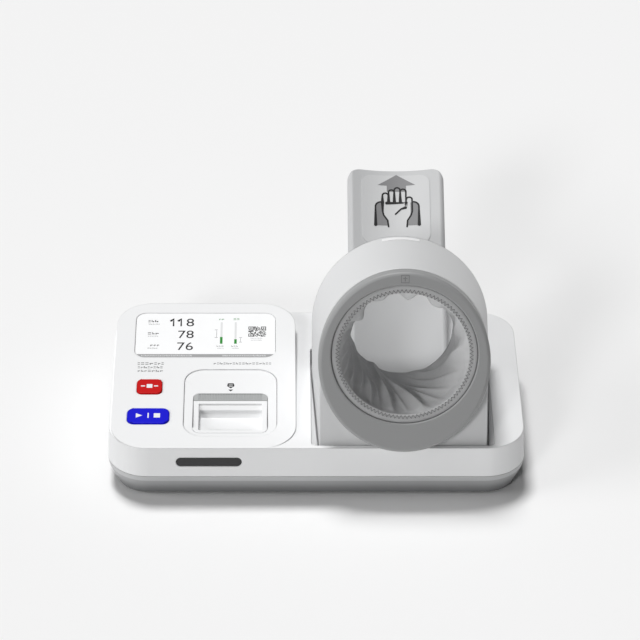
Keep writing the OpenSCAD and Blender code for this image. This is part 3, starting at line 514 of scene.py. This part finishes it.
softened("lower_shell", underside_painted_shade, 0.6)
softened("upper_shell", shell_white, 0, cell=14)
softened("well_pan", well_grey, 0.5)
softened("printer_fascia", white, 0.8)
softened("tear_comb", comb_grey, 0.12, 1)
softened("printer_lid", white, 0.6)
softened("start_button", key_blue, 1.0)
softened("stop_button", key_red, 1.0)
softened("barrel_housing", barrel_white_painted_shade, 1.2)
softened("rear_cover", barrel_white_painted_shade, 0.6)
softened("rear_collar", ring_grey, 0.6)
softened("tilt_cradle", cradle_grey, 0.6)
softened("forearm_rest", rest_grey, 1.2)
softened("rest_neck", rest_grey, 2.0)
softened("power_inlet", dark, 0.4)
softened("switch_frame", dark, 0.4)
softened("power_switch", dark, 0.5)
softened("bezel_ring", ring_grey, 1.5)

for finish, names in (
    (lens_white, ["screen_lens"]),
    (display_dark, ["display_module"]),
    (mask_green, ["main_board", "key_board"]),
    (dark, ["pressure_sensor", "print_head", "scanner_module", "speaker", "exhaust_valve", "cuff_drum"]),
    (well_grey, ["paper_bucket"]),
    (steel, ["base_screws", "cover_screws", "lid_hinge_pins", "pivot_pins", "air_pump"]),
    (tin, ["power_supply"]),
    (film, ["id_strip"]),
    (window_black, ["scanner_window"]),
    (rubber, ["rubber_feet", "cradle_bumpers", "air_hose", "platen_roller"]),
    (bladder_rubber, ["air_bladder"]),
    (paper, ["paper_roll"]),
    (sign_grey, ["sign_plate"]),
):
    for name in names:
        mesh = nodes[name].data
        mesh.materials.clear()
        mesh.materials.append(finish.material)


# ---------------------------------------------------------------- sleeve

# Pleats of the gathered cloth: the angle in degrees where each meets the hem and where it ends at the
# back, its height in millimetres, its half width in degrees at the hem and at the back, and its start
pleats = [
    (-99, -128, 6.5, 8, 5, 0.03), (-68, -124, 7.0, 9, 5, 0.03), (-84, -126, 2.6, 5, 4, 0.06),
    (-120, -157, 6.0, 8, 5, 0.03), (-111, -140, 2.8, 5, 4, 0.06), (-134, -162, 5.0, 7, 5, 0.03),
    (-30, -119, 4.2, 10, 6, 0.2), (-48, -121, 3.0, 7, 5, 0.12), (11, -70, 8.5, 17, 12, 0.02),
    (36, -38, 6.0, 13, 11, 0.04), (-14, -92, 3.2, 9, 8, 0.15), (58, -4, 4.5, 9, 9, 0.03),
    (-147, -176, 4.2, 6, 6, 0.03), (-158, 168, 3.6, 5, 6, 0.03), (-170, 158, 4.0, 6, 6, 0.02),
    (177, 146, 4.4, 6, 7, 0.02), (163, 132, 4.4, 6, 7, 0.02), (149, 118, 4.8, 7, 8, 0.02),
]
# Lobes of cloth that hang at the top of the mouth: angle, droop and half width
lobes = [(60, 11.5, 10), (86, 14.0, 10), (113, 10.5, 12), (140, 8.5, 9)]
lobe_at, lobe_reach = 0.17, 0.13         # where they hang along the sleeve, and how far that spreads
pleat_gain = 2.3                         # how much fuller the gathered cloth stands than its pleats' heights
steep, gentle = 1.7, 0.7                 # the two sides of a pleat
hem_inset = 4.5                          # the cloth starts this far in from the mouth's edge
least_r = 47.5                           # no fold comes closer to the tunnel's axis
cloth_t = 0.8


def turned_by(a, b):
    """Angle from b to a in degrees, from -180 to 180."""
    return (a - b + 180) % 360 - 180


def towards(angle, side):
    """1 at the side's angle, and 0 from a quarter turn off it."""
    return max(0.0, math.cos(math.radians(turned_by(angle, side))))


def sleeve_mean(t, angle):
    """The cloth's radius without its pleats. It sags at the bottom and stands wider on the right."""
    front = mouth_b - hem_inset
    back = waist_r + 1.5 - 4.6 * towards(angle, -100) ** 2 + 1.6 * towards(angle, 15)
    return front + (back - front) * (0.5 - 0.5 * math.cos(math.pi * t ** 0.85))


def pleat_height(angle, t):
    """How far the cloth stands in from its mean shape."""
    height = 0.0
    eased = t * t * (3 - 2 * t)
    for front, back, crest, wide, narrow, start in pleats:
        if t <= start:
            continue
        along = (t - start) / (1 - start)
        middle = front + turned_by(back, front) * (0.35 * t + 0.65 * eased)
        off = turned_by(angle, middle) / (wide + (narrow - wide) * t)
        side = gentle if off < 0 else steep
        grow = math.sin(math.pi * min(0.5, along * 1.3)) * (1 - 0.9 * eased)
        height += pleat_gain * crest * grow * math.exp(-(abs(off) * side) ** 1.25)
    for middle, droop, wide in lobes:
        off = turned_by(angle, middle) / wide
        height += droop * math.exp(-off * off) * math.exp(-((t - lobe_at) / lobe_reach) ** 2)
    return height


def sleeve_point(angle, t):
    """angle is in degrees, counted from the right, and t runs from the hem to the back end."""
    gathers = 0.35 * math.sin(math.radians(46 * (angle + 60 * t))) * math.exp(-(t / 0.14) ** 2)
    soft = 0.5 * math.sin(math.radians(7 * angle + 300 * t)) * math.sin(math.pi * t)
    radius = sleeve_mean(t, angle) - pleat_height(angle, t) * min(1.0, t / 0.12) - gathers + soft - 0.75
    radius = max(radius, least_r)
    wide = 1 + (mouth_a / mouth_b - 1) * (1 - t)
    return tunnel_point(radius * wide, radius, math.radians(angle), sleeve_w0 + (sleeve_w1 - sleeve_w0) * t)


def make_sleeve(around=540, along=110):
    loops = [[sleeve_point(360 * j / around, k / along) for j in range(around)] for k in range(along + 1)]
    points, faces = loft(loops)
    mesh = smoothed(mesh_of("cloth_sleeve", points, faces, in_tunnel))
    sleeve = piece("cloth_sleeve", mesh, sleeve_cloth, "arm_unit",
                   ["sleeve_front", "sleeve_middle", "sleeve_rear"])
    thick = sleeve.modifiers.new("cloth thickness", "SOLIDIFY")
    thick.thickness, thick.offset = cloth_t * MM, 0
    return sleeve


def make_hem(around=240):
    """The flat band round the mouth, with a soft rolled edge."""
    profile = ((0.6, 4.9), (0.5, 3.6), (1.2, 3.0), (4.0, 2.8), (8.4, 2.9), (9.3, 3.5), (9.5, 5.4))
    points, faces = loft([[tunnel_point(mouth_a - inset, mouth_b - inset, math.tau * j / around, w)
                           for j in range(around)] for inset, w in profile])
    mesh = smoothed(mesh_of("hem_band", points, faces, in_tunnel))
    return piece("hem_band", mesh, hem_cloth, "arm_unit", ["sleeve_hem"])


def make_stitches(zigs=104, middle=7.0, reach=1.9, radius=0.42, sides=6):
    """Zigzag stitching round the hem, as one closed thread. middle is its inset from the mouth's edge."""
    loops = []
    for k in range(zigs * 4):
        angle = math.tau * k / (zigs * 4)
        inset = middle + reach * (0, 1, 0, -1)[k % 4]
        spot = Vector(tunnel_point(mouth_a - inset, mouth_b - inset, angle, 2.75))
        out = Vector((math.cos(angle), 0, math.sin(angle)))
        loops.append([spot + out * (radius * math.cos(math.tau * j / sides))
                      + Vector((0, -radius * math.sin(math.tau * j / sides), 0)) for j in range(sides)])
    points, faces = loft(loops + [loops[0]])
    mesh = smoothed(mesh_of("zigzag_thread", points, faces, in_tunnel))
    return piece("zigzag_thread", mesh, thread, "arm_unit")


sleeve = make_sleeve()
hem = make_hem()
stitches = make_stitches()


# ---------------------------------------------------------------- printed marks

def rect(x0, x1, y0, y1):
    return [(x0, y0), (x1, y0), (x1, y1), (x0, y1)]


def marks_row(x0, x1, y, height, seed, gap=0.28):
    """A row of plain block marks that stands for small print."""
    pick, boxes, x = random.Random(seed), [], x0
    while x < x1 - height * 0.5:
        width = min(height * pick.uniform(0.6, 1.0), x1 - x)
        third = height / 3
        kind = pick.randrange(3)
        # each kind is two boxes: left and right as shares of the width, foot and top in thirds of the height
        for left, right, foot, top in (((0, 1, 2.1, 2.8), (0, 1, 0, 0.8)), ((0, 0.3, 0, 3), (0.5, 1, 0, 1.6)),
                                       ((0, 1, 1, 1.9), (0, 0.4, 0, 0.7)))[kind]:
            boxes.append(rect(x + width * left, x + width * right, y + third * foot, y + third * top))
        x += width + height * gap
    return boxes


def on_panel_face(height):
    return lambda x, s: on_panel @ Vector((x, s, height + print_lift))


def on_sign(lift):
    return lambda u, s: in_rest @ Vector((u, s, hollow_n(u) + sign_t + lift))


def on_ring(u, v):
    return in_tunnel @ Vector((u, -0.06, axis_h + v))


on_lens = on_panel_face(lens_face)


def lens_print(name, loops, finish, place=on_lens):
    return printed(name, loops, place, finish, "base")


def print_readings():
    """Plain numerals, wide and thin, and rows of marks in front of them."""
    for text, right, foot, height in (("8", -138.4, 223.8, 14.8), ("78", -138.4, 201.3, 14.4),
                                      ("76", -138.9, 178.7, 14.6)):
        points, faces = figures(text, height, right, foot)
        points = [((x - right) * 0.94 + right, s) for x, s in points]
        mesh = mesh_of("reading_" + text, [on_lens(*point) for point in points], faces)
        piece("reading_" + text, mesh, ink, "base")
    ones = [stroke([(x - 3.2, 233.9), (x, 237.7), (x, 224.7)], 1.8)[0] for x in (-153.2, -161.9)]
    lens_print("reading_ones", ones, ink)
    names = (marks_row(-190.9, -177.4, 231.9, 4.0, 1) + marks_row(-190.9, -177.4, 208.5, 4.0, 2)
             + marks_row(-187.5, -177.4, 186.2, 4.0, 3))
    lens_print("reading_names", names, ink)


def print_scales():
    """Two upright bars on pale tracks, with their brackets and marks."""
    pale = []
    for s, seed in ((227.1, 4), (204.2, 5), (181.4, 6)):
        pale += marks_row(-190.5, -177.6, s, 2.2, seed)
    pale += marks_row(-73.5, -59.3, 200.4, 1.8, 7) + marks_row(-73.0, -59.8, 196.8, 1.6, 8)
    for x0, x1, seed in ((-112, -103.2, 9), (-95.4, -86.3, 10)):
        pale += marks_row(x0, x1, 184.8, 2.6, seed) + marks_row(x0 + 0.8, x1 - 0.6, 181.4, 1.5, seed + 2)
    pale += [rect(-114.5, -111.0, 216.7, 217.5), rect(-114.5, -111.0, 202.0, 202.8),
             rect(-112.5, -112.0, 203.2, 216.3), rect(-86.6, -83.2, 202.0, 202.8),
             rect(-86.6, -83.2, 193.3, 194.1), rect(-85.2, -84.7, 194.5, 201.6)]
    lens_print("scale_marks", pale, pale_ink)
    tracks = [rect(-107.9, -105.6, 204.0, 231.6), rect(-91.8, -89.5, 199.6, 231.6)]
    lens_print("bar_tracks", tracks, track_ink)
    green = [rect(-108.3, -105.4, 190.7, 203.6), rect(-92.1, -89.2, 190.7, 199.2)]
    green += marks_row(-109.8, -102.6, 236.0, 3.2, 14) + marks_row(-93.2, -86.1, 236.0, 3.2, 15)
    lens_print("bar_readings", green, green_ink)


def print_square(left=-76, foot=204.2, cell=0.96, margin=0.02):
    """A square of random cells with three ringed corners. It stands for nothing."""
    pick, cells = random.Random(21), []
    for row in range(20):
        for column in range(21):
            corner = (row < 6 or row > 13) and column < 6 or row > 13 and column > 14
            if not corner and pick.random() < 0.5:
                x, s = left + column * cell, foot + row * cell
                cells.append(rect(x + margin, x + cell - margin, s + margin, s + cell - margin))
    for x, s in ((left, foot), (left, foot + 13.5), (left + 14.4, foot + 13.5)):
        for inset in (0, 0.95, 1.9):
            cells.append(rect(x + inset, x + 5.7 - inset, s + inset, s + 5.7 - inset))
    lens_print("square_code", cells, ink)


def print_strip():
    """The grey status strip, cut to the lens's round corners, with pale marks over it."""
    ends = [(lens_low + rise, lens_round - math.sqrt(lens_round ** 2 - (lens_round - rise) ** 2) + 0.3)
            for rise in (0.3, 1.0, 2.0, 3.5, 5.0, 6.2)]
    strip = [(lens_left + inset, s) for s, inset in ends]
    strip += [(lens_right - inset, s) for s, inset in ends[::-1]]
    lens_print("status_strip", [strip], strip_grey)
    pale = marks_row(-197, -139, lens_low + 2.2, 2.2, 16) + marks_row(-105, -55, lens_low + 2.2, 2.2, 17)
    lens_print("status_marks", pale, white_ink, on_panel_face(lens_face + print_lift))


def print_cover():
    """Rows of marks on the cover and the paper symbol on the fascia."""
    rows = marks_row(-200.7, -169.5, 151.0, 4.2, 31) + marks_row(-200.2, -170, 144.2, 3.6, 32)
    rows += marks_row(-200.2, -170, 137.6, 3.6, 33) + marks_row(-114.8, -47.5, 151.4, 3.4, 34)
    printed("cover_marks", rows, on_panel_face(0), print_ink, "base")
    symbol = [[(-99.2, 112.2), (-95.1, 108.2), (-91.0, 112.2), (-91.8, 117.4), (-98.4, 117.4)],
              rect(-97.3, -92.9, 113.8, 114.9), rect(-97.3, -92.9, 111.3, 112.2),
              [(-97.9, 105.9), (-92.3, 105.9), (-95.1, 102.6)]]
    printed("paper_symbol", symbol, on_panel_face(fascia_face), ink, "base")


def print_buttons():
    """A triangle, a bar and a square on the start key; a square between two dashes on the stop key."""
    x, s = -185.9, 55.9
    go = [[(x - 13.6, s - 4), (x - 6.6, s), (x - 13.6, s + 4)], rect(x - 0.7, x + 0.7, s - 4.4, s + 4.4),
          rect(x + 6.2, x + 13.2, s - 3.8, s + 3.8)]
    printed("start_symbol", go, on_panel_face(button_face), white_ink, "start_key")
    s = 109.2
    halt = [rect(x - 9.6, x - 5, s - 1, s + 1), rect(x - 3.2, x + 3.2, s - 3.4, s + 3.4),
            rect(x + 5, x + 9.6, s - 1, s + 1)]
    printed("stop_symbol", halt, on_panel_face(button_face), white_ink, "stop_key")


def arc(x, y, radius, start, end, steps=8):
    angles = [math.radians(start + (end - start) * k / steps) for k in range(steps + 1)]
    return [(x + radius * math.cos(angle), y + radius * math.sin(angle)) for angle in angles]


def print_sign(line=2.0):
    """An arrow over an open hand between two side blocks, laid on the curve of the sign plate."""
    arrow = [(1.0, 262), (-20.8, 247.7), (-10.2, 247.1), (-10.2, 239.0), (12.3, 239.0), (12.3, 247.1),
             (23.1, 247.7)]
    blocks = [[(-23, 193), (-23, 216)] + arc(-17, 218, 6, 180, 90) + [(-14, 224), (-14, 210), (-9, 193)],
              [(26, 193), (26, 216)] + arc(20, 218, 6, 0, 90) + [(17, 224), (17, 210), (13, 193)]]
    for name, loops in (("sign_arrow", [arrow]), ("sign_blocks", blocks)):
        printed(name, loops, on_sign(0.1), arrow_ink, "arm_unit", longest=3)
    paths = [[(-23.8, 192.5), (-23.8, 216)] + arc(-17, 218, 6.8, 180, 95),
             [(26.8, 192.5), (26.8, 216)] + arc(20, 218, 6.8, 0, 85)]
    for middle, wide, top in ((-12, 7.0, 237), (-5, 6.6, 241.5), (1.8, 6.8, 244.5), (8.6, 6.6, 242.5)):
        paths.append([(middle - wide / 2, 224)] + arc(middle, top - wide / 2, wide / 2, 180, 0)
                     + [(middle + wide / 2, 224)])
    thumb = [(11.9, 225), (11.9, 217)] + arc(15.6, 228, 3.4, 180, 0)
    paths += [[(-15.5, 225), (-15.5, 212), (-14.3, 207), (-9.8, 200), (-8.8, 191.5)],
              thumb + [(19, 212), (17.6, 207), (13.4, 200), (12.6, 191.5)],
              [(-11.6, 223.4), (8.6, 223.8)], [(11.9, 217.5), (6, 215.5), (-0.5, 208.6)]]
    lines = [outline for path in paths for outline in stroke(path, line)]
    printed("sign_hand", lines, on_sign(0.2), ink, "arm_unit", odd=False, longest=3)


def print_ring():
    """A small boxed cross on the ring, over the mouth."""
    box = stroke([(-4.2, 80.2), (4.2, 80.2), (4.2, 88.4), (-4.2, 88.4)], 0.7, closed=True)
    cross = [rect(-0.5, 0.5, 81.6, 87.0), rect(-2.4, 2.4, 84.4, 85.2)]
    printed("ring_sign", box, on_ring, arrow_ink, "arm_unit")
    printed("ring_sign_cross", cross, on_ring, arrow_ink, "arm_unit", odd=False)


print_ring()
print_readings()
print_scales()
print_square()
print_strip()
print_cover()
print_buttons()
print_sign()


# ---------------------------------------------------------------- floor, light and camera

def make_stage(reach=30):
    """The pale floor, the lamps and the world. reach is the floor's half size in metres."""
    floor_finish = Finish("studio floor", (0.88, 0.88, 0.88), 0.8, specular_ior_level=0.1)
    floor_finish.tint(floor_finish.noise(0.6, 1).eased(0.3, 0.7) * 0.3, (0.86, 0.86, 0.862))
    mesh = bpy.data.meshes.new("studio_floor")
    mesh.from_pydata([(x * reach, y * reach, 0) for x, y in ((-1, -1), (1, -1), (1, 1), (-1, 1))], [],
                     [(0, 1, 2, 3)])
    mesh.materials.append(floor_finish.material)
    floor = bpy.data.objects.new("studio_floor", mesh)
    scene.collection.objects.link(floor)
    world = bpy.data.worlds.new("studio")
    scene.world = world
    world.use_nodes = True
    world.node_tree.nodes["Background"].inputs["Color"].default_value = (1, 1, 1, 1)
    world.node_tree.nodes["Background"].inputs["Strength"].default_value = 0.07
    # direction that each light comes from, its softness in degrees, and its strength
    lights = (("top_light", (-0.2, 0.5, 1.5), 16, 2.45), ("left_light", (-1.0, -0.2, 0.5), 30, 0.8),
              ("front_light", (-0.5, -1.0, 0.5), 12, 0.85))
    for name, way, softness, strength in lights:
        lamp = bpy.data.lights.new(name, "SUN")
        lamp.angle, lamp.energy = math.radians(softness), strength
        holder = bpy.data.objects.new(name, lamp)
        scene.collection.objects.link(holder)
        holder.rotation_euler = Vector(way).to_track_quat("Z", "Y").to_euler()


def make_camera(picture=640, shift=(42, 3), tilt=57):
    """The photograph's view. picture and shift are in its pixels."""
    lens = bpy.data.cameras.new("photo_camera")
    lens.sensor_width, lens.lens = 36, 194.9
    lens.shift_x, lens.shift_y = shift[0] / picture, shift[1] / picture
    lens.clip_end = 100
    camera = bpy.data.objects.new("photo_camera", lens)
    camera.location = (-0.0422, -3.2403, 2.2447)
    camera.rotation_euler = (math.radians(tilt), 0, 0)
    scene.collection.objects.link(camera)
    scene.camera = camera


make_stage()
make_camera()
scene.view_settings.view_transform = "Standard"
